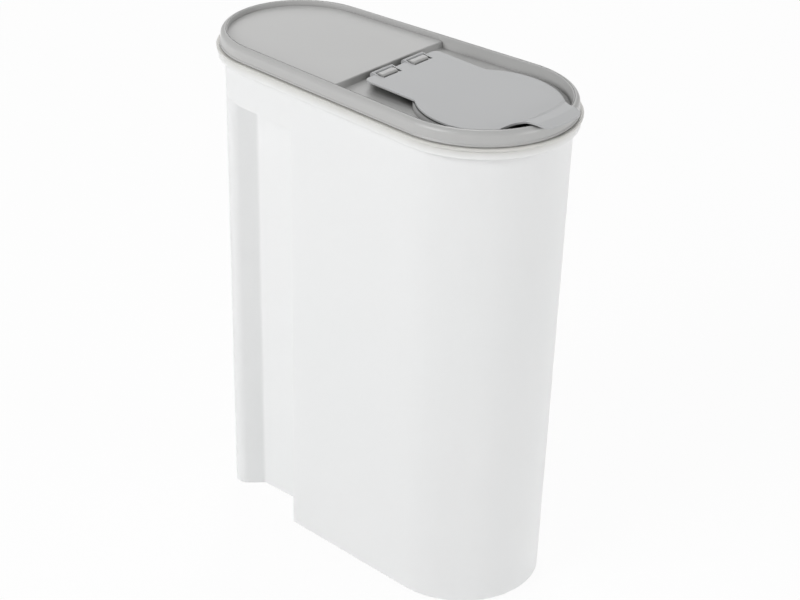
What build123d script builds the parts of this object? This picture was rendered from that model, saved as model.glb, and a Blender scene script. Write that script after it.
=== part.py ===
from build123d import *
from math import atan, cos, degrees, pi, radians, sin, sqrt, tan
import os

# A tall cereal keeper: a drafted container with two grip grooves, a lift-off lid and a flip pour flap.
# Millimetres, +Z up, +X towards the pour end. The origin is on the ground, under the middle of the
# bounding box. The plan of every level is the same figure: a small arc at the rear and a larger one at
# the front, joined by tangents. Levels differ only in how far that figure is moved in or out, so the
# wall, the rim band, the lid and the well all follow from one plan and a list of offsets.

# Plan, at the outside of the lid's skirt
CENTRE_DISTANCE = 132.3
REAR_RADIUS = 48.33
FRONT_RADIUS = 55.46
HEIGHT = 305.0

# Container wall: how far it stands inside the skirt at the foot and under the rim band
WALL = 1.8
FLOOR = 2.4
FOOT_INSET = 7.86
SHOULDER_INSET = 3.14
FOOT_CHAMFER = 0.9

# Rim band: a bead, a fine groove and a skirt that hangs free of the wall
BEAD_OUT = 1.94
BEAD_HEIGHT = 1.7
BEAD_CHAMFER = 0.4
BAND_OUT = 0.71
BAND_HEIGHT = 4.75
BAND_THICKNESS = 1.4
LINE_HEIGHT = 0.3
LINE_DEPTH = 0.5
MOUTH_WALL = 1.4
MOUTH_HEIGHT = 1.8

# Grip grooves, one on each long side, open at the foot; placed from the rear arc's centre
GROOVE_TOP_DROP = 38.3
GROOVE_MOUTH_AHEAD = 34.2
GROOVE_CREASE_BEHIND = 9.7
GROOVE_CREASE_SHIFT = -2.6
WAIST = 44.8
WAIST_GROWTH = 7.2
GROOVE_REAR_FLARE = 45.0
GROOVE_FRONT_FLARE = 25.0
GROOVE_CREASE_ROUND = 3.0
GROOVE_REAR_ROUND = 7.0
GROOVE_INNER_BEVEL = 2.6
GROOVE_FRONT_ROUND = 2.0

# Lid
LID_GAP = 0.4
SKIRT_DROP = 8.6
SKIRT_THICKNESS = 1.2
SKIRT_LIP = 0.5
SKIRT_LIP_HEIGHT = 0.7
SHOULDER_DROP = 3.0
SHOULDER_WIDTH = 2.4
SHOULDER_STEPS = 5
CREST_INSET = 3.69
CREST_FALL = 0.45
INNER_EDGE_DROP = 0.6
RIM_WALL_LEAN = 1.2
PLUG_WALL = 1.4
RIM_WEB = 2.2
PANEL_DROP = 3.0
PANEL_EDGE_BEHIND = 7.6
LID_SHEET = 1.5
WELL_DROP = 7.0
STEP_LEAN = 1.3
STEP_ROUND = 1.0

# Pour opening and its collar; the opening's middle is placed from the front arc's centre
SPOUT_AHEAD = 7.3
COLLAR_RADIUS = 42.0
COLLAR_WALL = 1.5
COLLAR_GAP = 0.8

# Flap: a neck and a disc in one thin sheet, sloping down to the front
FLAP_SHEET = 1.0
FLAP_SLOPE = 0.031
FLAP_DROP_AT_SPOUT = 3.03
FLAP_REAR_AHEAD = 2.0
DISC_RADIUS = 41.2
NECK_WIDTH = 60.8
NECK_ROUND = 3.5
SEAL_GAP = 0.8
SEAL_WALL = 1.4
SEAL_DEPTH = 1.5

# Hinge: two rods on the flap, each held in a clip that stands on the well floor
HINGE_TO_SPOUT = 66.8
HINGE_DROP = 1.85
ROD_RADIUS = 1.6
ROD_CLEARANCE = 0.08
UNIT_OFFSET = 13.0
UNIT_WIDTH = 16.8
CHEEK = 1.0
CHEEK_REACH = 4.4
CLIP_SIDE_GAP = 0.5
CLIP_WRAP = 0.6
CLIP_WALL = 0.8
CLIP_BACK_WALL = 1.2
CLIP_SLOT_DROP = 4.6
POST_AHEAD = 5.6
POST_WIDTH = 3.2
POST_TOP_DROP = 0.45
WINDOW_GAP = 1.0

# Pull tab: a tongue that rises from a curved crease on the disc, passes over the rim and overhangs it
TAB_CREASE_AHEAD = 32.6
TAB_CREASE_RADIUS = 91.0
TAB_REACH = 53.2
TAB_SHEET = 1.0
TAB_SHEET_SHIFT = 0.45
TAB_RAMP_RUN = 3.8
TAB_RAMP_TOP = 0.6
TAB_CREST_RUN = 7.6
TAB_CREST_RISE = 1.7
TAB_FLAT_RUN = 13.6
TAB_END_RISE = 0.6
TAB_BEND_ROUND = 5.0
TAB_ROOT_HALF_WIDTH = 29.5
TAB_NECK_AHEAD = 38.0
TAB_NECK_HALF_WIDTH = 17.0
TAB_END_HALF_WIDTH = 15.2
TAB_FLARE_ROUND = 12.0
TAB_CORNER_ROUND = 8.0

# Worked out from the sizes above
REAR_X = (REAR_RADIUS + BEAD_OUT - CENTRE_DISTANCE - SPOUT_AHEAD - TAB_REACH) / 2
FRONT_X = REAR_X + CENTRE_DISTANCE
SPOUT_X = FRONT_X + SPOUT_AHEAD
HINGE_X = SPOUT_X - HINGE_TO_SPOUT
LEAN_SINE = (FRONT_RADIUS - REAR_RADIUS) / CENTRE_DISTANCE
LEAN_COSINE = sqrt(1 - LEAN_SINE**2)
BEAD_TOP = HEIGHT - SKIRT_DROP - LID_GAP
LINE_TOP = BEAD_TOP - BEAD_HEIGHT
BAND_TOP = LINE_TOP - LINE_HEIGHT
BAND_BOTTOM = BAND_TOP - BAND_HEIGHT
LEDGE = BAND_TOP - BAND_THICKNESS
DRAFT = degrees(atan((FOOT_INSET - SHOULDER_INSET) / BAND_BOTTOM))
GROOVE_TOP = HEIGHT - GROOVE_TOP_DROP
GROOVE_MOUTH_X = REAR_X + GROOVE_MOUTH_AHEAD
GROOVE_CREASE_X = REAR_X - GROOVE_CREASE_BEHIND
MOUTH_OUT = -SKIRT_THICKNESS - SKIRT_LIP - LID_GAP
MOUTH_IN = MOUTH_OUT - MOUTH_WALL
MOUTH_TOP = BEAD_TOP + MOUTH_HEIGHT
PLUG_OUT = MOUTH_IN - LID_GAP
PLUG_BOTTOM = LEDGE + LID_GAP


def oval(offset_out, z=0.0):
    """The plan at height z, moved out by offset_out from the outside of the lid's skirt."""
    rear = REAR_RADIUS + offset_out
    front = FRONT_RADIUS + offset_out
    rear_touch = (REAR_X - rear * LEAN_SINE, rear * LEAN_COSINE)
    front_touch = (FRONT_X - front * LEAN_SINE, front * LEAN_COSINE)
    far_side = Line(rear_touch, front_touch)
    near_side = Line((front_touch[0], -front_touch[1]), (rear_touch[0], -rear_touch[1]))
    front_end = ThreePointArc(far_side @ 1, (FRONT_X + front, 0), near_side @ 0)
    rear_end = ThreePointArc(near_side @ 1, (REAR_X - rear, 0), far_side @ 0)
    return Pos(0, 0, z) * make_face(far_side + front_end + near_side + rear_end)


def around(section):
    """Carries a closed section, drawn as (offset out, height), round the plan."""
    path = oval(0).face().outer_wire()
    across = Vector(-LEAN_SINE, LEAN_COSINE, 0)
    frame = Plane(origin=path @ 0, x_dir=across, z_dir=path % 0)
    if frame.y_dir.Z < 0:
        frame = Plane(origin=path @ 0, x_dir=across, z_dir=-(path % 0))
    return sweep(frame * section, path=path)


def drafted(offset_at_foot, z_low, z_high):
    """The plan drawn up from z_low to z_high, widening at the container's draft."""
    return extrude(oval(offset_at_foot, z_low), z_high - z_low, taper=-DRAFT)


def outline(*points):
    """A closed outline through the given points."""
    return make_face(Polyline(*points, close=True))


def at(drop):
    """A height given as a drop below the lid's crest."""
    return HEIGHT - drop


def upright(x, y=0.0):
    """A drawing plane across the width at y, with its origin on the ground and its y axis up."""
    return Plane(origin=(x, y, 0), x_dir=(1, 0, 0), z_dir=(0, -1, 0))


def both_sides(shape):
    """A shape and its mirror image on the other side of the XZ plane."""
    return shape + mirror(shape, Plane.XZ)


def uprights(shape):
    """The edges that rise from about the foot to about the groove's top."""
    slack = FLOOR + 2 * WALL
    return shape.edges().filter_by(lambda edge: abs(abs((edge @ 1).Z - (edge @ 0).Z) - GROOVE_TOP) < slack)


def half_width(offset_out, x):
    """Half the width of the plan at x, on the straight part of its side."""
    return (REAR_RADIUS + offset_out + (x - REAR_X) * LEAN_SINE) / LEAN_COSINE


def leaning(plan, run_x, run_y, grow):
    """A plan drawn up to the top of the groove, leaning by the given run over the groove's height."""
    rise = Vector(run_x, run_y, GROOVE_TOP)
    height = GROOVE_TOP + grow
    if grow > 0:
        plan = offset(plan, grow, kind=Kind.INTERSECTION)
    return extrude(plan, rise.length * height / GROOVE_TOP, dir=rise.normalized())


def groove(grow):
    """One grip groove as a solid on the +Y side, its walls and top moved outwards by grow."""
    half_waist = WAIST / 2
    mouth_y = half_width(-FOOT_INSET, GROOVE_MOUTH_X)
    reach = 2 * mouth_y
    side_run = reach - half_waist
    front_run = tan(radians(GROOVE_FRONT_FLARE))
    rear_and_floor = outline(
        (GROOVE_CREASE_X, half_waist),
        (GROOVE_MOUTH_X + reach, half_waist),
        (GROOVE_MOUTH_X + reach, reach),
        (GROOVE_CREASE_X - side_run * tan(radians(GROOVE_REAR_FLARE)), reach),
    )
    front = outline(
        (GROOVE_MOUTH_X - mouth_y * front_run, 0),
        (GROOVE_MOUTH_X + (reach - mouth_y) * front_run, reach),
        (GROOVE_CREASE_X - reach, reach),
        (GROOVE_CREASE_X - reach, 0),
    )
    wall_run = (FOOT_INSET - SHOULDER_INSET) * GROOVE_TOP / BAND_BOTTOM
    cut = leaning(rear_and_floor, GROOVE_CREASE_SHIFT, WAIST_GROWTH / 2, grow)
    cut &= leaning(front, 0, wall_run, grow)
    return fillet(uprights(cut).sort_by(Axis.Y)[:2], GROOVE_CREASE_ROUND + grow)


def grooved(offset_at_foot, z_low, z_high, grow):
    """A drafted block with both grip grooves cut in it."""
    return drafted(offset_at_foot, z_low, z_high) - both_sides(groove(grow))


def rear_mouths(block):
    """The upright edges where the grooves open towards the rear."""
    behind = GROOVE_CREASE_X - GROOVE_REAR_ROUND
    return uprights(block).filter_by(lambda edge: edge.center().X < behind)


def front_mouths(block):
    """The upright edges where the grooves open towards the front."""
    ahead = GROOVE_MOUTH_X - GROOVE_FRONT_ROUND
    return uprights(block).filter_by(lambda edge: edge.center().X > ahead)


def rim_band():
    """The band under the lid: wall, hanging skirt, fine groove, bead and the mouth that the lid grips."""
    skirt_in = BAND_OUT - BAND_THICKNESS
    wall_in = -SHOULDER_INSET - WALL
    section = outline(
        (-SHOULDER_INSET, BAND_BOTTOM),
        (-SHOULDER_INSET, LEDGE),
        (skirt_in, LEDGE),
        (skirt_in, BAND_BOTTOM),
        (BAND_OUT, BAND_BOTTOM),
        (BAND_OUT, BAND_TOP),
        (BAND_OUT - LINE_DEPTH, BAND_TOP),
        (BAND_OUT - LINE_DEPTH, LINE_TOP),
        (BEAD_OUT, LINE_TOP),
        (BEAD_OUT, BEAD_TOP),
        (MOUTH_OUT, BEAD_TOP),
        (MOUTH_OUT, MOUTH_TOP),
        (MOUTH_IN, MOUTH_TOP),
        (MOUTH_IN, LEDGE),
        (wall_in, LEDGE - MOUTH_WALL),
        (wall_in, BAND_BOTTOM),
    )
    outside = section.vertices().filter_by(lambda vertex: vertex.X > BAND_OUT - LINE_DEPTH / 2)
    return around(chamfer(outside, BEAD_CHAMFER))


def container():
    """The container: one moulding, open at the top."""
    body = grooved(-FOOT_INSET, 0, BAND_BOTTOM, 0)
    body = fillet(rear_mouths(body), GROOVE_REAR_ROUND)
    body = fillet(front_mouths(body), GROOVE_FRONT_ROUND)
    body = chamfer(body.faces().sort_by(Axis.Z)[0].outer_wire().edges(), FOOT_CHAMFER)
    inside = grooved(-FOOT_INSET - WALL, FLOOR, BAND_BOTTOM + WALL, WALL)
    inside = chamfer(rear_mouths(inside), GROOVE_INNER_BEVEL)
    return body - inside + rim_band()


def lid_rim():
    """The lid's edge: skirt, rounded shoulder, crest and the plug wall that goes inside the mouth."""
    skirt_out = -SKIRT_LIP
    skirt_in = skirt_out - SKIRT_THICKNESS
    well_in = PLUG_OUT - PLUG_WALL
    skirt_foot = at(SKIRT_DROP)
    shoulder = []
    for step in range(SHOULDER_STEPS + 1):
        turn = step / SHOULDER_STEPS * pi / 2
        drop = SHOULDER_DROP - (SHOULDER_DROP - CREST_FALL) * sin(turn)
        shoulder.append((skirt_out - SHOULDER_WIDTH * (1 - cos(turn)), at(drop)))
    return around(outline(
        *shoulder,
        (-CREST_INSET, HEIGHT),
        (well_in + RIM_WALL_LEAN, at(INNER_EDGE_DROP)),
        (well_in, at(WELL_DROP)),
        (well_in, PLUG_BOTTOM),
        (PLUG_OUT, PLUG_BOTTOM),
        (PLUG_OUT, at(RIM_WEB)),
        (skirt_in, at(RIM_WEB)),
        (skirt_in, skirt_foot),
        (0, skirt_foot),
        (0, skirt_foot + SKIRT_LIP_HEIGHT),
        (skirt_out, skirt_foot + 2 * SKIRT_LIP_HEIGHT),
    ))


def lid_floor():
    """The sheet inside the rim: a raised rear panel, a leaning step and the sunken well."""
    edge_x = HINGE_X - PANEL_EDGE_BEHIND
    foot_x = edge_x + STEP_LEAN
    section = outline(
        (-CENTRE_DISTANCE, at(PANEL_DROP)),
        (edge_x, at(PANEL_DROP)),
        (foot_x, at(WELL_DROP)),
        (CENTRE_DISTANCE, at(WELL_DROP)),
        (CENTRE_DISTANCE, at(WELL_DROP + LID_SHEET)),
        (foot_x - LID_SHEET, at(WELL_DROP + LID_SHEET)),
        (edge_x - LID_SHEET, at(PANEL_DROP + LID_SHEET)),
        (-CENTRE_DISTANCE, at(PANEL_DROP + LID_SHEET)),
    )
    bends = section.vertices().filter_by(lambda vertex: edge_x - STEP_ROUND < vertex.X < foot_x + STEP_ROUND)
    top_bends = bends.sort_by(Axis.Y)[-1:] + bends.sort_by(Axis.X)[-1:]
    section = fillet(top_bends, STEP_ROUND)
    sheet = extrude(upright(0) * section, CENTRE_DISTANCE, both=True)
    return sheet & extrude(oval(PLUG_OUT - PLUG_WALL / 4), HEIGHT)


def flap_plane():
    """Plane of the flap's upper face: it slopes down towards the front."""
    over_spout = Vector(SPOUT_X, 0, at(FLAP_DROP_AT_SPOUT))
    return Plane(origin=over_spout, x_dir=(1, 0, -FLAP_SLOPE), z_dir=(FLAP_SLOPE, 0, 1))


def flap_drop(x):
    """How far the flap's upper face is below the crest at x."""
    return FLAP_DROP_AT_SPOUT + FLAP_SLOPE * (x - SPOUT_X)


def hinge_clip():
    """The clip on the +Y side: a cradle round the rod and, past a slot, a round-topped front post."""
    bore = ROD_RADIUS + ROD_CLEARANCE
    foot = at(WELL_DROP + LID_SHEET / 2)
    slot_floor = at(CLIP_SLOT_DROP)
    post_round = POST_WIDTH / 2
    post_top = at(POST_TOP_DROP) - post_round
    length = UNIT_WIDTH - 2 * CHEEK - 2 * CLIP_SIDE_GAP
    axis_z = at(HINGE_DROP)
    cradle = outline(
        (-bore - CLIP_BACK_WALL, foot),
        (bore + CLIP_WALL, foot),
        (bore + CLIP_WALL, axis_z + CLIP_WRAP),
        (-bore - CLIP_BACK_WALL, axis_z + CLIP_WRAP),
    )
    post = outline(
        (POST_AHEAD - post_round, foot),
        (POST_AHEAD + post_round, foot),
        (POST_AHEAD + post_round, post_top),
        (POST_AHEAD - post_round, post_top),
    )
    base = outline((0, foot), (POST_AHEAD, foot), (POST_AHEAD, slot_floor), (0, slot_floor))
    section = cradle + post + base + Pos(POST_AHEAD, post_top) * Circle(post_round)
    section -= Pos(0, axis_z) * Circle(bore)
    return extrude(upright(HINGE_X, UNIT_OFFSET + length / 2) * section, length)


def lid():
    """The lid: rim, panel and well, collar round the pour opening and two clips."""
    under_well = at(WELL_DROP + LID_SHEET)
    upright_tube = Pos(SPOUT_X, 0, under_well)
    collar = upright_tube * extrude(Circle(COLLAR_RADIUS), HEIGHT - under_well)
    collar = split(collar, bisect_by=flap_plane().offset(-FLAP_SHEET - COLLAR_GAP), keep=Keep.BOTTOM)
    opening = upright_tube * extrude(Circle(COLLAR_RADIUS - COLLAR_WALL), HEIGHT - under_well)
    return lid_rim() + lid_floor() + collar - opening + both_sides(hinge_clip())


def hinge_unit():
    """One of the flap's rods on the +Y side with the two cheeks that carry it."""
    start = upright(HINGE_X, UNIT_OFFSET + UNIT_WIDTH / 2)
    rod_section = Pos(0, at(HINGE_DROP)) * Circle(ROD_RADIUS)
    tip_drop = flap_drop(HINGE_X + CHEEK_REACH) + FLAP_SHEET / 2
    tip_section = Pos(CHEEK_REACH, at(tip_drop)) * Circle(FLAP_SHEET / 2)
    cheek = extrude(start * make_hull(rod_section.edges() + tip_section.edges()), CHEEK)
    rod = extrude(start * rod_section, UNIT_WIDTH)
    return rod + cheek + Pos(0, CHEEK - UNIT_WIDTH, 0) * cheek


def flap_sheet():
    """The neck and the disc in one sloping sheet, with a window for each clip."""
    neck_length = HINGE_TO_SPOUT - FLAP_REAR_AHEAD
    neck = Pos(-neck_length / 2, 0) * Rectangle(neck_length, NECK_WIDTH)
    neck = fillet(neck.vertices().sort_by(Axis.X)[:2], NECK_ROUND)
    window_length = POST_AHEAD + POST_WIDTH / 2 + WINDOW_GAP - FLAP_REAR_AHEAD
    window = Rectangle(window_length, UNIT_WIDTH - 2 * CHEEK)
    window = Pos(window_length / 2 - neck_length, UNIT_OFFSET) * window
    plan = neck + Circle(DISC_RADIUS) - both_sides(window)
    return extrude(flap_plane() * plan, -FLAP_SHEET)


def seal_ring():
    """The ring under the disc that plugs the collar."""
    outside = COLLAR_RADIUS - COLLAR_WALL - SEAL_GAP
    ring = Circle(outside) - Circle(outside - SEAL_WALL)
    return extrude(flap_plane().offset(-FLAP_SHEET) * ring, -SEAL_DEPTH)


def pull_tab():
    """The tab at the front: it rises from a crease on the disc, passes over the rim and overhangs it."""
    crease_x = SPOUT_X + TAB_CREASE_AHEAD
    crease_z = at(flap_drop(crease_x))
    end_run = TAB_REACH - TAB_CREASE_AHEAD
    top = FilletPolyline(
        (0, crease_z),
        (TAB_RAMP_RUN, HEIGHT + TAB_RAMP_TOP),
        (TAB_CREST_RUN, HEIGHT + TAB_CREST_RISE),
        (TAB_FLAT_RUN, HEIGHT + TAB_CREST_RISE),
        (end_run, HEIGHT + TAB_END_RISE),
        radius=TAB_BEND_ROUND,
    )
    under = Pos(TAB_SHEET_SHIFT, -TAB_SHEET) * top
    end = Polyline(top @ 1, (end_run + TAB_SHEET_SHIFT, HEIGHT + TAB_END_RISE), under @ 1)
    band = make_face(top + end + under + Line(top @ 0, under @ 0))
    arch_length = 4 * TAB_ROOT_HALF_WIDTH
    turn = degrees(arch_length / TAB_CREASE_RADIUS)
    middle = Vector(crease_x - TAB_CREASE_RADIUS, 0, 0)
    start = upright(middle.X) * Pos(TAB_CREASE_RADIUS, 0)
    arch = revolve(start * band, axis=Axis(middle, (0, 0, 1)), revolution_arc=turn)
    arch = Pos(middle) * Rot(0, 0, -turn / 2) * Pos(-middle) * arch
    root_x = SPOUT_X + sqrt(DISC_RADIUS**2 - TAB_ROOT_HALF_WIDTH**2)
    neck_x = SPOUT_X + TAB_NECK_AHEAD
    end_x = SPOUT_X + TAB_REACH
    plan = outline(
        (SPOUT_X, TAB_ROOT_HALF_WIDTH),
        (root_x, TAB_ROOT_HALF_WIDTH),
        (neck_x, TAB_NECK_HALF_WIDTH),
        (end_x, TAB_END_HALF_WIDTH),
        (end_x, -TAB_END_HALF_WIDTH),
        (neck_x, -TAB_NECK_HALF_WIDTH),
        (root_x, -TAB_ROOT_HALF_WIDTH),
        (SPOUT_X, -TAB_ROOT_HALF_WIDTH),
    )
    flares = plan.vertices().filter_by(lambda vertex: abs(vertex.X - neck_x) < TAB_SHEET)
    plan = fillet(flares, TAB_FLARE_ROUND)
    plan = fillet(plan.vertices().sort_by(Axis.X)[-2:], TAB_CORNER_ROUND)
    return arch & extrude(plan, HEIGHT + 2 * TAB_CREST_RISE)


def flap():
    """The flap in one piece."""
    return flap_sheet() + seal_ring() + pull_tab() + both_sides(hinge_unit())


os.makedirs("parts", exist_ok=True)
export_step(container(), "parts/container_body.step")
export_step(lid(), "parts/lid.step")
export_step(flap(), "parts/pour_flap.step")
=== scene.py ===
"""A cereal keeper: a tall natural polypropylene container, its grey lid and the flap over the spout.

Metres, +Z up, +X towards the pour end, -Y the side that faces the camera.
"""
from math import cos, pi, radians, sin

import bmesh
import bpy
from mathutils import Matrix, Vector


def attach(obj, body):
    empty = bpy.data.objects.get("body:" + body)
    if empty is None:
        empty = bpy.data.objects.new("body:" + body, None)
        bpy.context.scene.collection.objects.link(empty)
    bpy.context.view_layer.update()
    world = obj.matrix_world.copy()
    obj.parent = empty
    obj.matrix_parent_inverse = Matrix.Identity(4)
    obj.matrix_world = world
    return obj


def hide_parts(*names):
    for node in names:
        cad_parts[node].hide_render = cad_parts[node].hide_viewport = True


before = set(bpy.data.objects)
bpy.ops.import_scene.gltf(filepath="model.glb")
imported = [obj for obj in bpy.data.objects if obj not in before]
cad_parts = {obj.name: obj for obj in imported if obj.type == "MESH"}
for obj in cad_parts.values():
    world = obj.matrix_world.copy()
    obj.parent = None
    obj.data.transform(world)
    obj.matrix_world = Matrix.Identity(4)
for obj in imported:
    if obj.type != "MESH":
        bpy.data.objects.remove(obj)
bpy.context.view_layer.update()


# ---------------------------------------------------------------------------------------------
# Camera. A long lens, a little to the right of the keeper's corner and well above it, held
# almost level, so the tall sides close in slightly towards the foot.
azimuth, elevation, roll = radians(41.08), radians(28.60), radians(1.48)
aim = Vector((-0.00993, 0.00557, 0.13189))
distance = 1.399

camera_data = bpy.data.cameras.new("camera")
camera = bpy.data.objects.new("camera", camera_data)
bpy.context.scene.collection.objects.link(camera)
back = Vector((sin(azimuth) * cos(elevation), -cos(azimuth) * cos(elevation), sin(elevation)))
level = Vector((cos(azimuth), sin(azimuth), 0.0))
upright = back.cross(level)
right = level * cos(roll) + upright * sin(roll)
up = upright * cos(roll) - level * sin(roll)
turn = Matrix((right, up, back)).transposed()
camera.matrix_world = Matrix.Translation(aim + back * distance) @ turn.to_4x4()
camera_data.sensor_fit = "HORIZONTAL"
camera_data.sensor_width = 36.0
camera_data.lens = 105.06
camera_data.shift_x = 0.0223
camera_data.shift_y = 0.0288
camera_data.clip_end = 20.0
bpy.context.scene.camera = camera
bpy.context.scene.view_settings.view_transform = "Standard"


# ---------------------------------------------------------------------------------------------
# Floor and air. White studio paper under an even white dome, with a large soft lamp at the front
# left. Weaker ones behind and to the right turn the two ends, and a small one above draws the
# light along the rim. They are kept weak enough for the pale sides not to clip to white.
FLOOR_HALF = 4.0
FLOOR_BELOW = 0.0005
OWN_WHITE = 0.93
DOME_STRENGTH = 0.38


def linear(hex_colour):
    """An sRGB hex colour as linear light, with full alpha."""
    parts = [int(hex_colour[i:i + 2], 16) / 255 for i in (1, 3, 5)]
    light = [p / 12.92 if p <= 0.04045 else ((p + 0.055) / 1.055) ** 2.4 for p in parts]
    return (*light, 1.0)


def add(tree, kind, joins=(), **settings):
    """Adds a node, sets inputs and properties by name, then joins (output or value, input) pairs."""
    node = tree.nodes.new(kind)
    for name, value in settings.items():
        if name in node.inputs.keys():
            node.inputs[name].default_value = value
        else:
            setattr(node, name, value)
    for source, target in joins:
        if isinstance(source, bpy.types.NodeSocket):
            tree.links.new(source, node.inputs[target])
        else:
            node.inputs[target].default_value = source
    return node


def lamp(name, size, power, place, aim_at):
    """A square soft lamp at a place, aimed at a point."""
    data = bpy.data.lights.new(name, "AREA")
    data.shape = "SQUARE"
    data.size = size
    data.energy = power
    holder = bpy.data.objects.new(name, data)
    bpy.context.scene.collection.objects.link(holder)
    way = (Vector(aim_at) - Vector(place)).to_track_quat("-Z", "Y")
    holder.matrix_world = Matrix.Translation(place) @ way.to_matrix().to_4x4()


# Matt white paper. What the camera and reflections see of it is mostly its own white, and the
# rest keeps the keeper's shadow.
paper = bpy.data.materials.new("white studio paper")
paper.use_nodes = True
tree = paper.node_tree
tree.nodes.clear()
matt = add(tree, "ShaderNodeBsdfDiffuse", Color=linear("#F4F4F4"))
glow = add(tree, "ShaderNodeEmission", Color=linear("#FFFFFF"), Strength=1.0)
ray = add(tree, "ShaderNodeLightPath")
seen = add(
    tree, "ShaderNodeMath",
    [(ray.outputs["Is Camera Ray"], 0), (ray.outputs["Is Glossy Ray"], 1)], operation="MAXIMUM",
)
share = add(tree, "ShaderNodeMath", [(seen.outputs[0], 0), (OWN_WHITE, 1)], operation="MULTIPLY")
mix = add(tree, "ShaderNodeMixShader", [(share.outputs[0], 0), (matt.outputs[0], 1), (glow.outputs[0], 2)])
add(tree, "ShaderNodeOutputMaterial", [(mix.outputs[0], "Surface")])

corners = [(-FLOOR_HALF, -FLOOR_HALF, 0), (FLOOR_HALF, -FLOOR_HALF, 0),
           (FLOOR_HALF, FLOOR_HALF, 0), (-FLOOR_HALF, FLOOR_HALF, 0)]
floor_mesh = bpy.data.meshes.new("floor")
floor_mesh.from_pydata(corners, [], [(0, 1, 2, 3)])
floor = bpy.data.objects.new("floor", floor_mesh)
bpy.context.scene.collection.objects.link(floor)
floor.location.z = -FLOOR_BELOW
floor.data.materials.append(paper)

# The dome lights softly, but the camera, and what is seen through a wall, finds it white
world = bpy.data.worlds.new("white dome")
bpy.context.scene.world = world
world.use_nodes = True
tree = world.node_tree
tree.nodes.clear()
ray = add(tree, "ShaderNodeLightPath")
dome = add(tree, "ShaderNodeBackground", Color=linear("#FFFFFF"), Strength=DOME_STRENGTH)
white = add(tree, "ShaderNodeBackground", Color=linear("#FFFFFF"), Strength=1.0)
seen = add(
    tree, "ShaderNodeMath",
    [(ray.outputs["Is Camera Ray"], 0), (ray.outputs["Is Transmission Ray"], 1)], operation="MAXIMUM",
)
mix = add(tree, "ShaderNodeMixShader", [(seen.outputs[0], 0), (dome.outputs[0], 1), (white.outputs[0], 2)])
add(tree, "ShaderNodeOutputWorld", [(mix.outputs[0], "Surface")])

lamp("soft lamp front left", 1.4, 32.0, (-0.45, -2.15, 1.3), (0, 0, 0.15))
lamp("soft lamp behind", 1.8, 11.0, (-1.3, 1.7, 1.5), (0, 0, 0.3))
lamp("small lamp above", 0.3, 4.5, (-0.65, 0.75, 1.75), (0, 0, 0.3))
lamp("soft lamp right", 1.2, 16.0, (2.0, 0.5, 0.45), (0, 0, 0.15))


# ---------------------------------------------------------------------------------------------
# Container. One injection moulding of natural polypropylene, 1.8 mm thick, with a rim band and
# two grip grooves. The lid presses on over its mouth.
CREASE = radians(32)
EDGE_ROUND = 0.0003
EDGE_STEPS = 2
EVEN_WEIGHT = 50
# Heights of the flange band under the lid, which is painted greyer as painted shade
FLANGE_LOW, FLANGE_HIGH = 0.2885, 0.2955
# Points this near are one, in the CAD skin and after the cuts, and faces this level are one face
CAD_WELD = 0.000002
STEP_WELD = 0.000004
FLAT = radians(0.4)
# The tools' satin grain is about 0.1 mm, and is drawn 0.4 mm across so that it shows
GRAIN = 0.0004
GRAIN_DEPTH = 0.00005
# The sockets of a Mix node that mixes colours
FACTOR, COLOUR_A, COLOUR_B, MIXED = 0, 6, 7, 2


def settle(piece):
    """Turns what an object's modifiers give into its own plain mesh."""
    evaluated = piece.evaluated_get(bpy.context.evaluated_depsgraph_get())
    piece.data = bpy.data.meshes.new_from_object(evaluated)
    piece.modifiers.clear()


def moulded(node, name, body, material, steps=()):
    """The CAD solid as one welded skin, cut and joined as steps say, with rounded edges.

    The faces of the rounding carry an edge attribute of 1, and all others 0; the grey material paints a
    highlight where it is 1.
    """
    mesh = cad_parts[node].data.copy()
    mesh.name = name
    mesh.materials.clear()
    skin = bmesh.new()
    skin.from_mesh(mesh)
    bmesh.ops.remove_doubles(skin, verts=skin.verts, dist=CAD_WELD)
    skin.to_mesh(mesh)
    skin.free()
    piece = bpy.data.objects.new(name, mesh)
    bpy.context.scene.collection.objects.link(piece)
    for operation, tool in steps:
        cut = piece.modifiers.new(operation, "BOOLEAN")
        cut.operation = operation
        cut.solver = "EXACT"
        cut.use_self = True
        cut.object = tool
    settle(piece)
    for _, tool in steps:
        bpy.data.objects.remove(tool)

    skin = bmesh.new()
    skin.from_mesh(piece.data)
    bmesh.ops.remove_doubles(skin, verts=skin.verts, dist=STEP_WELD)
    bmesh.ops.dissolve_limit(skin, angle_limit=FLAT, verts=skin.verts, edges=skin.edges)
    for face in skin.faces:
        face.smooth = True
        face.material_index = 0
    skin.to_mesh(piece.data)
    skin.free()

    # The rounding's faces take the second slot, which tells them apart and then goes
    piece.data.materials.clear()
    piece.data.materials.append(material)
    piece.data.materials.append(material)
    rounded = piece.modifiers.new("mould rounding", "BEVEL")
    rounded.limit_method = "ANGLE"
    rounded.angle_limit = CREASE
    rounded.width = EDGE_ROUND
    rounded.segments = EDGE_STEPS
    rounded.material = 1
    weighted = piece.modifiers.new("even normals", "WEIGHTED_NORMAL")
    weighted.keep_sharp = True
    weighted.weight = EVEN_WEIGHT
    settle(piece)
    # The rounding's faces are marked for the painted highlight
    edge_highlight = piece.data.attributes.new("edge_highlight", "FLOAT", "FACE")
    for face in piece.data.polygons:
        edge_highlight.data[face.index].value = float(face.material_index)
        face.material_index = 0
    piece.data.materials.pop()

    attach(piece, body)
    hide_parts(node)
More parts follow.
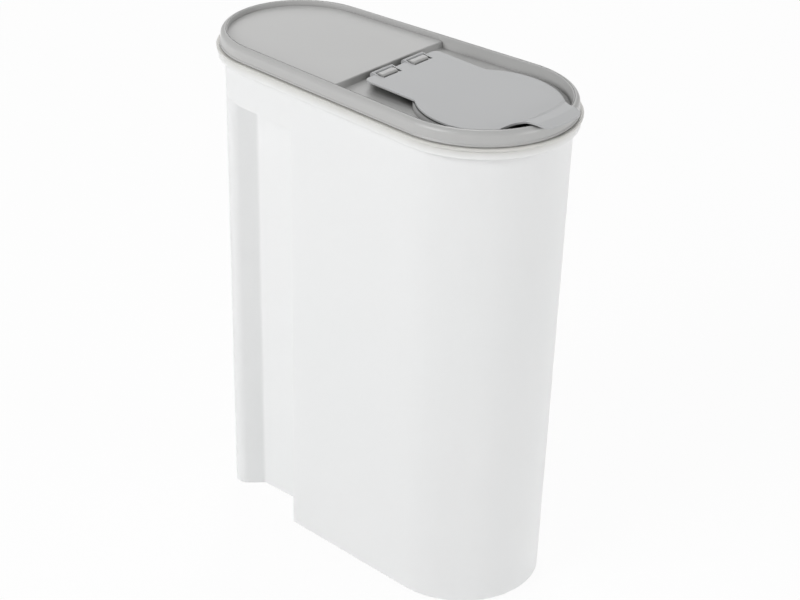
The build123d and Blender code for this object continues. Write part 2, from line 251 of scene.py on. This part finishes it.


# Natural polypropylene, moulded against a fine satin tool: cloudy white, with clouds about 110 mm
# across, softened by the light that passes its wall, and with broad soft highlights. The band of
# the flange under the lid is painted greyer, a painted shade for the lid's shadow and the thin wall.
natural = bpy.data.materials.new("natural polypropylene, injection moulded")
natural.use_nodes = True
tree = natural.node_tree
tree.nodes.clear()
place = add(tree, "ShaderNodeTexCoord").outputs["Object"]
cloud = add(tree, "ShaderNodeTexNoise", [(place, "Vector")], Scale=9.0, Detail=3.0, Roughness=0.5)
tint = add(
    tree, "ShaderNodeMix",
    [(cloud.outputs["Fac"], FACTOR), (linear("#EEF0F0"), COLOUR_A), (linear("#F2F2F2"), COLOUR_B)],
    data_type="RGBA",
)
# Painted shade: the flange band under the lid is painted greyer, for the lid's shadow
height = add(tree, "ShaderNodeSeparateXYZ", [(place, "Vector")]).outputs["Z"]
flange_shade_mask = add(
    tree, "ShaderNodeMapRange", [(height, "Value"), (FLANGE_LOW, "From Min"), (FLANGE_HIGH, "From Max")],
)
flange_painted_shade = add(
    tree, "ShaderNodeMix",
    [(flange_shade_mask.outputs[0], FACTOR), (tint.outputs[MIXED], COLOUR_A), (linear("#D0CFCB"), COLOUR_B)],
    data_type="RGBA",
)
grain = add(tree, "ShaderNodeTexNoise", [(place, "Vector")], Scale=1 / GRAIN, Detail=2.0)
bump = add(tree, "ShaderNodeBump", [(grain.outputs["Fac"], "Height")], Strength=0.08, Distance=GRAIN_DEPTH)
satin = add(
    tree, "ShaderNodeBsdfPrincipled",
    [(flange_painted_shade.outputs[MIXED], "Base Color"), (bump.outputs["Normal"], "Normal"),
     (0.7, "Subsurface Weight"), ((1.0, 1.0, 1.0), "Subsurface Radius"), (0.0025, "Subsurface Scale")],
    Roughness=0.38, IOR=1.49,
)
add(tree, "ShaderNodeOutputMaterial", [(satin.outputs[0], "Surface")])

moulded("container_body", "container", "container", natural)


# ---------------------------------------------------------------------------------------------
# Lid. One moulding of grey polypropylene, pressed on over the container's mouth: a rounded rim
# with a skirt and a plug wall, a raised panel, the pour well and two clips for the flap's rods.
# How far around a point the painted shade in gaps looks, and where it starts and ends
CREVICE_REACH = 0.008
CREVICE_SHUT, CREVICE_OPEN = 0.2, 0.62
# The plan at the skirt's lip: two circles and their tangents. The section's drops are measured
# down from the crest, and its other sizes outwards from the lip.
REAR_X, FRONT_X = -0.071265, 0.061035
REAR_RADIUS, FRONT_RADIUS = 0.04833, 0.05546
CREST = 0.305
SECTION = {
    "lip out": 0.0, "skirt out": -0.0005, "skirt in": -0.0017, "plug out": -0.0039,
    "wall top in": -0.0043, "wall foot in": -0.0054, "web drop": 0.0022, "lip top drop": 0.0072,
    "lip drop": 0.0079, "skirt foot drop": 0.0086, "plug foot drop": 0.012, "crest drop": 0.0,
    "outer round": 0.0032, "inner round": 0.0007, "crest height": CREST,
    "rear radius": REAR_RADIUS, "front radius": FRONT_RADIUS, "rear x": REAR_X, "front x": FRONT_X,
}
# The corners of the section in order: outwards, drop and rounding
CORNERS = [
    ("lip out", "skirt foot drop", None), ("lip out", "lip drop", None),
    ("skirt out", "lip top drop", None), ("skirt out", "crest drop", "outer round"),
    ("wall top in", "crest drop", "inner round"), ("wall foot in", "plug foot drop", None),
    ("plug out", "plug foot drop", None), ("plug out", "web drop", None),
    ("skirt in", "web drop", None), ("skirt in", "skirt foot drop", None),
]
PLAN_STEPS = 224
ROUND_STEPS = 10
# Of the CAD solid, what lies inside this offset of the plan stays
INSIDE = -0.00452
INSIDE_LOW, INSIDE_HEIGHT = 0.28, 0.04
# The clips stand on the well floor, each round a rod of the flap, x measured from the hinge axis
HINGE_X, AXIS_Z, FLOOR_Z = 0.001535, 0.30315, 0.298
CLIP_NEAR = (0.0061, -0.0199)
CLIP_LENGTH = 0.0138
CLIP_ROOT = FLOOR_Z - 0.0006
CUT_BACK, CUT_FRONT, CUT_TOP, CUT_SPARE = -0.0034, 0.0078, 0.3065, 0.0003
CRADLE_BACK, CRADLE_FRONT, CRADLE_TOP = -0.0029, 0.0023, AXIS_Z - 0.0004
BORE_RADIUS, BORE_MOUTH = 0.00175, 14
HOOK_BACK, HOOK_FRONT, HOOK_TOP = 0.0021, 0.0070, 0.30495
HOOK_FRONT_ROUND, HOOK_BACK_ROUND = 0.0014, 0.0012
HOOK_SHORTER = 0.0018

# Grey polypropylene, coloured in the mass and moulded against a finely sanded tool: an even satin
# grey with patches about 70 mm across that barely show, a painted highlight along the rounded
# edges, and painted shade, almost black, where a gap lets no light in.
grey = bpy.data.materials.new("grey polypropylene, satin moulded")
grey.use_nodes = True
tree = grey.node_tree
tree.nodes.clear()
place = add(tree, "ShaderNodeTexCoord").outputs["Object"]
flow = add(tree, "ShaderNodeTexNoise", [(place, "Vector")], Scale=14.0, Detail=2.0)
tint = add(
    tree, "ShaderNodeMix",
    [(flow.outputs["Fac"], FACTOR), (linear("#B6B6B5"), COLOUR_A), (linear("#BCBCBB"), COLOUR_B)],
    label="tint", data_type="RGBA",
)
# Painted highlight: the rounded edges are painted paler, as if they caught the light
edge_highlight = add(tree, "ShaderNodeAttribute", attribute_name="edge_highlight")
highlighted_grey = add(
    tree, "ShaderNodeMix",
    [(edge_highlight.outputs["Fac"], FACTOR), (tint.outputs[MIXED], COLOUR_A), (linear("#F0F0EF"), COLOUR_B)],
    data_type="RGBA",
)
# Painted shade: where little is open within 8 mm around a point, the grey is painted almost black
openness = add(tree, "ShaderNodeAmbientOcclusion", samples=8, Distance=CREVICE_REACH)
lit = add(
    tree, "ShaderNodeMapRange",
    [(openness.outputs["AO"], "Value"), (CREVICE_SHUT, "From Min"), (CREVICE_OPEN, "From Max")],
)
crevice_painted_shade = add(
    tree, "ShaderNodeMix",
    [(lit.outputs[0], FACTOR), (linear("#2E2C2A"), COLOUR_A), (highlighted_grey.outputs[MIXED], COLOUR_B)],
    data_type="RGBA",
)
grain = add(tree, "ShaderNodeTexNoise", [(place, "Vector")], Scale=1 / GRAIN, Detail=2.0)
bump = add(tree, "ShaderNodeBump", [(grain.outputs["Fac"], "Height")], Strength=0.1, Distance=GRAIN_DEPTH)
satin = add(
    tree, "ShaderNodeBsdfPrincipled",
    [(crevice_painted_shade.outputs[MIXED], "Base Color"), (bump.outputs["Normal"], "Normal")],
    Roughness=0.31, IOR=1.49,
)
add(tree, "ShaderNodeOutputMaterial", [(satin.outputs[0], "Surface")])

# The rim: its section, with rounded corners, is swept round the plan
sweep = bpy.data.node_groups.new("section swept round the plan", "GeometryNodeTree")
sweep.interface.new_socket("Geometry", in_out="OUTPUT", socket_type="NodeSocketGeometry")
inputs = {}
for name, value in {**SECTION, "steps": PLAN_STEPS}.items():
    kind = "NodeSocketInt" if name == "steps" else "NodeSocketFloat"
    inputs[name] = sweep.interface.new_socket(name, in_out="INPUT", socket_type=kind)
    inputs[name].default_value = value
given = add(sweep, "NodeGroupInput").outputs

index = add(sweep, "GeometryNodeInputIndex")
corner = add(sweep, "GeometryNodeIndexSwitch", [(index.outputs[0], "Index")], data_type="VECTOR")
rounding = add(sweep, "GeometryNodeIndexSwitch", [(index.outputs[0], "Index")], data_type="FLOAT")
for _ in CORNERS[2:]:  # an index switch starts with two items
    corner.index_switch_items.new()
    rounding.index_switch_items.new()
for count, (out_name, drop_name, round_name) in enumerate(CORNERS, start=1):
    spot = add(sweep, "ShaderNodeCombineXYZ", [(given[out_name], "X"), (given[drop_name], "Y")])
    sweep.links.new(spot.outputs[0], corner.inputs[count])
    if round_name:
        sweep.links.new(given[round_name], rounding.inputs[count])
line = add(sweep, "GeometryNodeMeshLine", Count=len(CORNERS))
line = add(sweep, "GeometryNodeSetPosition", [(line.outputs[0], "Geometry"), (corner.outputs[0], "Position")])
line = add(sweep, "GeometryNodeMeshToCurve", [(line.outputs[0], "Mesh")])
line = add(sweep, "GeometryNodeSetSplineCyclic", [(line.outputs[0], "Geometry")], Cyclic=True)
section = add(
    sweep, "GeometryNodeFilletCurve", [(line.outputs[0], "Curve"), (rounding.outputs[0], "Radius")],
    mode="POLY", Count=ROUND_STEPS,
)

# For a point of the plan that faces (x, y), it is the circle that reaches further that way
circle = add(sweep, "GeometryNodeCurvePrimitiveCircle", [(given["steps"], "Resolution")], Radius=1.0)
position = add(sweep, "GeometryNodeInputPosition")
facing = add(sweep, "ShaderNodeSeparateXYZ", [(position.outputs[0], "Vector")]).outputs
growth = add(
    sweep, "ShaderNodeMath", [(given["front radius"], 0), (given["rear radius"], 1)], operation="SUBTRACT",
)
length = add(sweep, "ShaderNodeMath", [(given["rear x"], 0), (given["front x"], 1)], operation="SUBTRACT")
lean = add(sweep, "ShaderNodeMath", [(growth.outputs[0], 0), (length.outputs[0], 1)], operation="DIVIDE")
ahead = add(
    sweep, "FunctionNodeCompare", [(facing["X"], "A"), (lean.outputs[0], "B")], operation="GREATER_THAN",
)
centre = add(
    sweep, "GeometryNodeSwitch",
    [(ahead.outputs[0], "Switch"), (given["rear x"], "False"), (given["front x"], "True")],
    input_type="FLOAT",
)
radius = add(
    sweep, "GeometryNodeSwitch",
    [(ahead.outputs[0], "Switch"), (given["rear radius"], "False"), (given["front radius"], "True")],
    input_type="FLOAT",
)
along = add(
    sweep, "ShaderNodeMath", [(facing["X"], 0), (radius.outputs[0], 1), (centre.outputs[0], 2)],
    operation="MULTIPLY_ADD",
)
aside = add(sweep, "ShaderNodeMath", [(facing["Y"], 0), (radius.outputs[0], 1)], operation="MULTIPLY")
spot = add(
    sweep, "ShaderNodeCombineXYZ",
    [(along.outputs[0], "X"), (aside.outputs[0], "Y"), (given["crest height"], "Z")],
)
path = add(sweep, "GeometryNodeSetPosition", [(circle.outputs[0], "Geometry"), (spot.outputs[0], "Position")])
path = add(sweep, "GeometryNodeSetCurveNormal", [(path.outputs[0], "Curve")], mode="Z_UP")
ring = add(
    sweep, "GeometryNodeCurveToMesh", [(path.outputs[0], "Curve"), (section.outputs[0], "Profile Curve")],
)
ring = add(sweep, "GeometryNodeRealizeInstances", [(ring.outputs[0], "Geometry")])
ring = add(sweep, "GeometryNodeSetMaterial", [(ring.outputs[0], "Geometry")], Material=grey)
add(sweep, "NodeGroupOutput", [(ring.outputs[0], "Geometry")])

rim = bpy.data.objects.new("rim", bpy.data.meshes.new("rim"))
bpy.context.scene.collection.objects.link(rim)
swept = rim.modifiers.new("swept rim", "NODES")
swept.node_group = sweep
for name, value in {**SECTION, "steps": PLAN_STEPS}.items():
    swept[inputs[name].identifier] = value
settle(rim)
skin = bmesh.new()
skin.from_mesh(rim.data)
bmesh.ops.remove_doubles(skin, verts=skin.verts, dist=CAD_WELD)
bmesh.ops.recalc_face_normals(skin, faces=skin.faces)
skin.to_mesh(rim.data)
skin.free()


def plan_points(outwards):
    """Points of the plan, moved outwards from the skirt's lip."""
    lean = (REAR_RADIUS - FRONT_RADIUS) / (FRONT_X - REAR_X)
    points = []
    for step in range(PLAN_STEPS):
        x, y = cos(2 * pi * step / PLAN_STEPS), sin(2 * pi * step / PLAN_STEPS)
        middle, radius = (FRONT_X, FRONT_RADIUS) if x > lean else (REAR_X, REAR_RADIUS)
        points.append((middle + (radius + outwards) * x, (radius + outwards) * y))
    return points


def arc(middle_x, middle_z, radius, first, last, steps=8):
    """Points of an arc from one angle to another, in degrees."""
    turns = [radians(first + (last - first) * step / steps) for step in range(steps + 1)]
    return [(middle_x + radius * cos(turn), middle_z + radius * sin(turn)) for turn in turns]


def solid(name, prisms):
    """A plain object of closed prisms, each an outline of points and the way it is carried."""
    shape = bmesh.new()
    for outline, way in prisms:
        ends = [
            [shape.verts.new([at + run * end for at, run in zip(point, way)]) for point in outline]
            for end in (0, 1)
        ]
        faces = [shape.faces.new(ends[0]), shape.faces.new(ends[1])]
        for count in range(len(outline)):
            after = (count + 1) % len(outline)
            faces.append(shape.faces.new((ends[0][count], ends[0][after], ends[1][after], ends[1][count])))
        bmesh.ops.recalc_face_normals(shape, faces=faces)
    mesh = bpy.data.meshes.new(name)
    shape.to_mesh(mesh)
    shape.free()
    made = bpy.data.objects.new(name, mesh)
    bpy.context.scene.collection.objects.link(made)
    return made


# What of the solid stays: the floor inside the rim, with the collar, but without the plain clips
inner_outline = [(x, y, INSIDE_LOW) for x, y in plan_points(INSIDE)]
inner = solid("inside of the rim", [(inner_outline, (0, 0, INSIDE_HEIGHT))])
cut = [(CUT_BACK, FLOOR_Z), (CUT_FRONT, FLOOR_Z), (CUT_FRONT, CUT_TOP), (CUT_BACK, CUT_TOP)]
plain_clips = solid("plain clips", [
    ([(HINGE_X + x, near - CUT_SPARE, z) for x, z in cut], (0, CLIP_LENGTH + 2 * CUT_SPARE, 0))
    for near in CLIP_NEAR
])

# The clips: a low cradle under the rod and, ahead of it, a broad rounded hook
cradle = [(CRADLE_BACK, CLIP_ROOT), (CRADLE_FRONT, CLIP_ROOT), (CRADLE_FRONT, CRADLE_TOP)]
cradle += arc(0.0, AXIS_Z, BORE_RADIUS, -BORE_MOUTH, BORE_MOUTH - 180, steps=12)
cradle += [(CRADLE_BACK, CRADLE_TOP)]
hook = [(HOOK_BACK, CLIP_ROOT), (HOOK_FRONT, CLIP_ROOT)]
hook += arc(HOOK_FRONT - HOOK_FRONT_ROUND, HOOK_TOP - HOOK_FRONT_ROUND, HOOK_FRONT_ROUND, 0, 90)
hook += arc(HOOK_BACK + HOOK_BACK_ROUND, HOOK_TOP - HOOK_BACK_ROUND, HOOK_BACK_ROUND, 90, 180)
clips = solid("clips", [
    ([(HINGE_X + x, near, z) for x, z in outline], (0, length, 0))
    for near in CLIP_NEAR
    for outline, length in ((cradle, CLIP_LENGTH), (hook, CLIP_LENGTH - HOOK_SHORTER))
])

steps = [("INTERSECT", inner), ("DIFFERENCE", plain_clips), ("UNION", rim), ("UNION", clips)]
moulded("lid", "lid_moulding", "lid", grey, steps)


# ---------------------------------------------------------------------------------------------
# Pour flap. One thin sheet of grey polypropylene with its rods, its seal ring and its pull tab,
# snapped into the lid's clips. Its grey is the lid's, a touch cooler and darker.
cool_grey = grey.copy()
cool_grey.name = "cool grey polypropylene, satin moulded"
for node in cool_grey.node_tree.nodes:
    if node.label == "tint":
        node.inputs[COLOUR_A].default_value = linear("#AFB0B1")
        node.inputs[COLOUR_B].default_value = linear("#B5B6B7")

moulded("pour_flap", "flap", "flap", cool_grey)
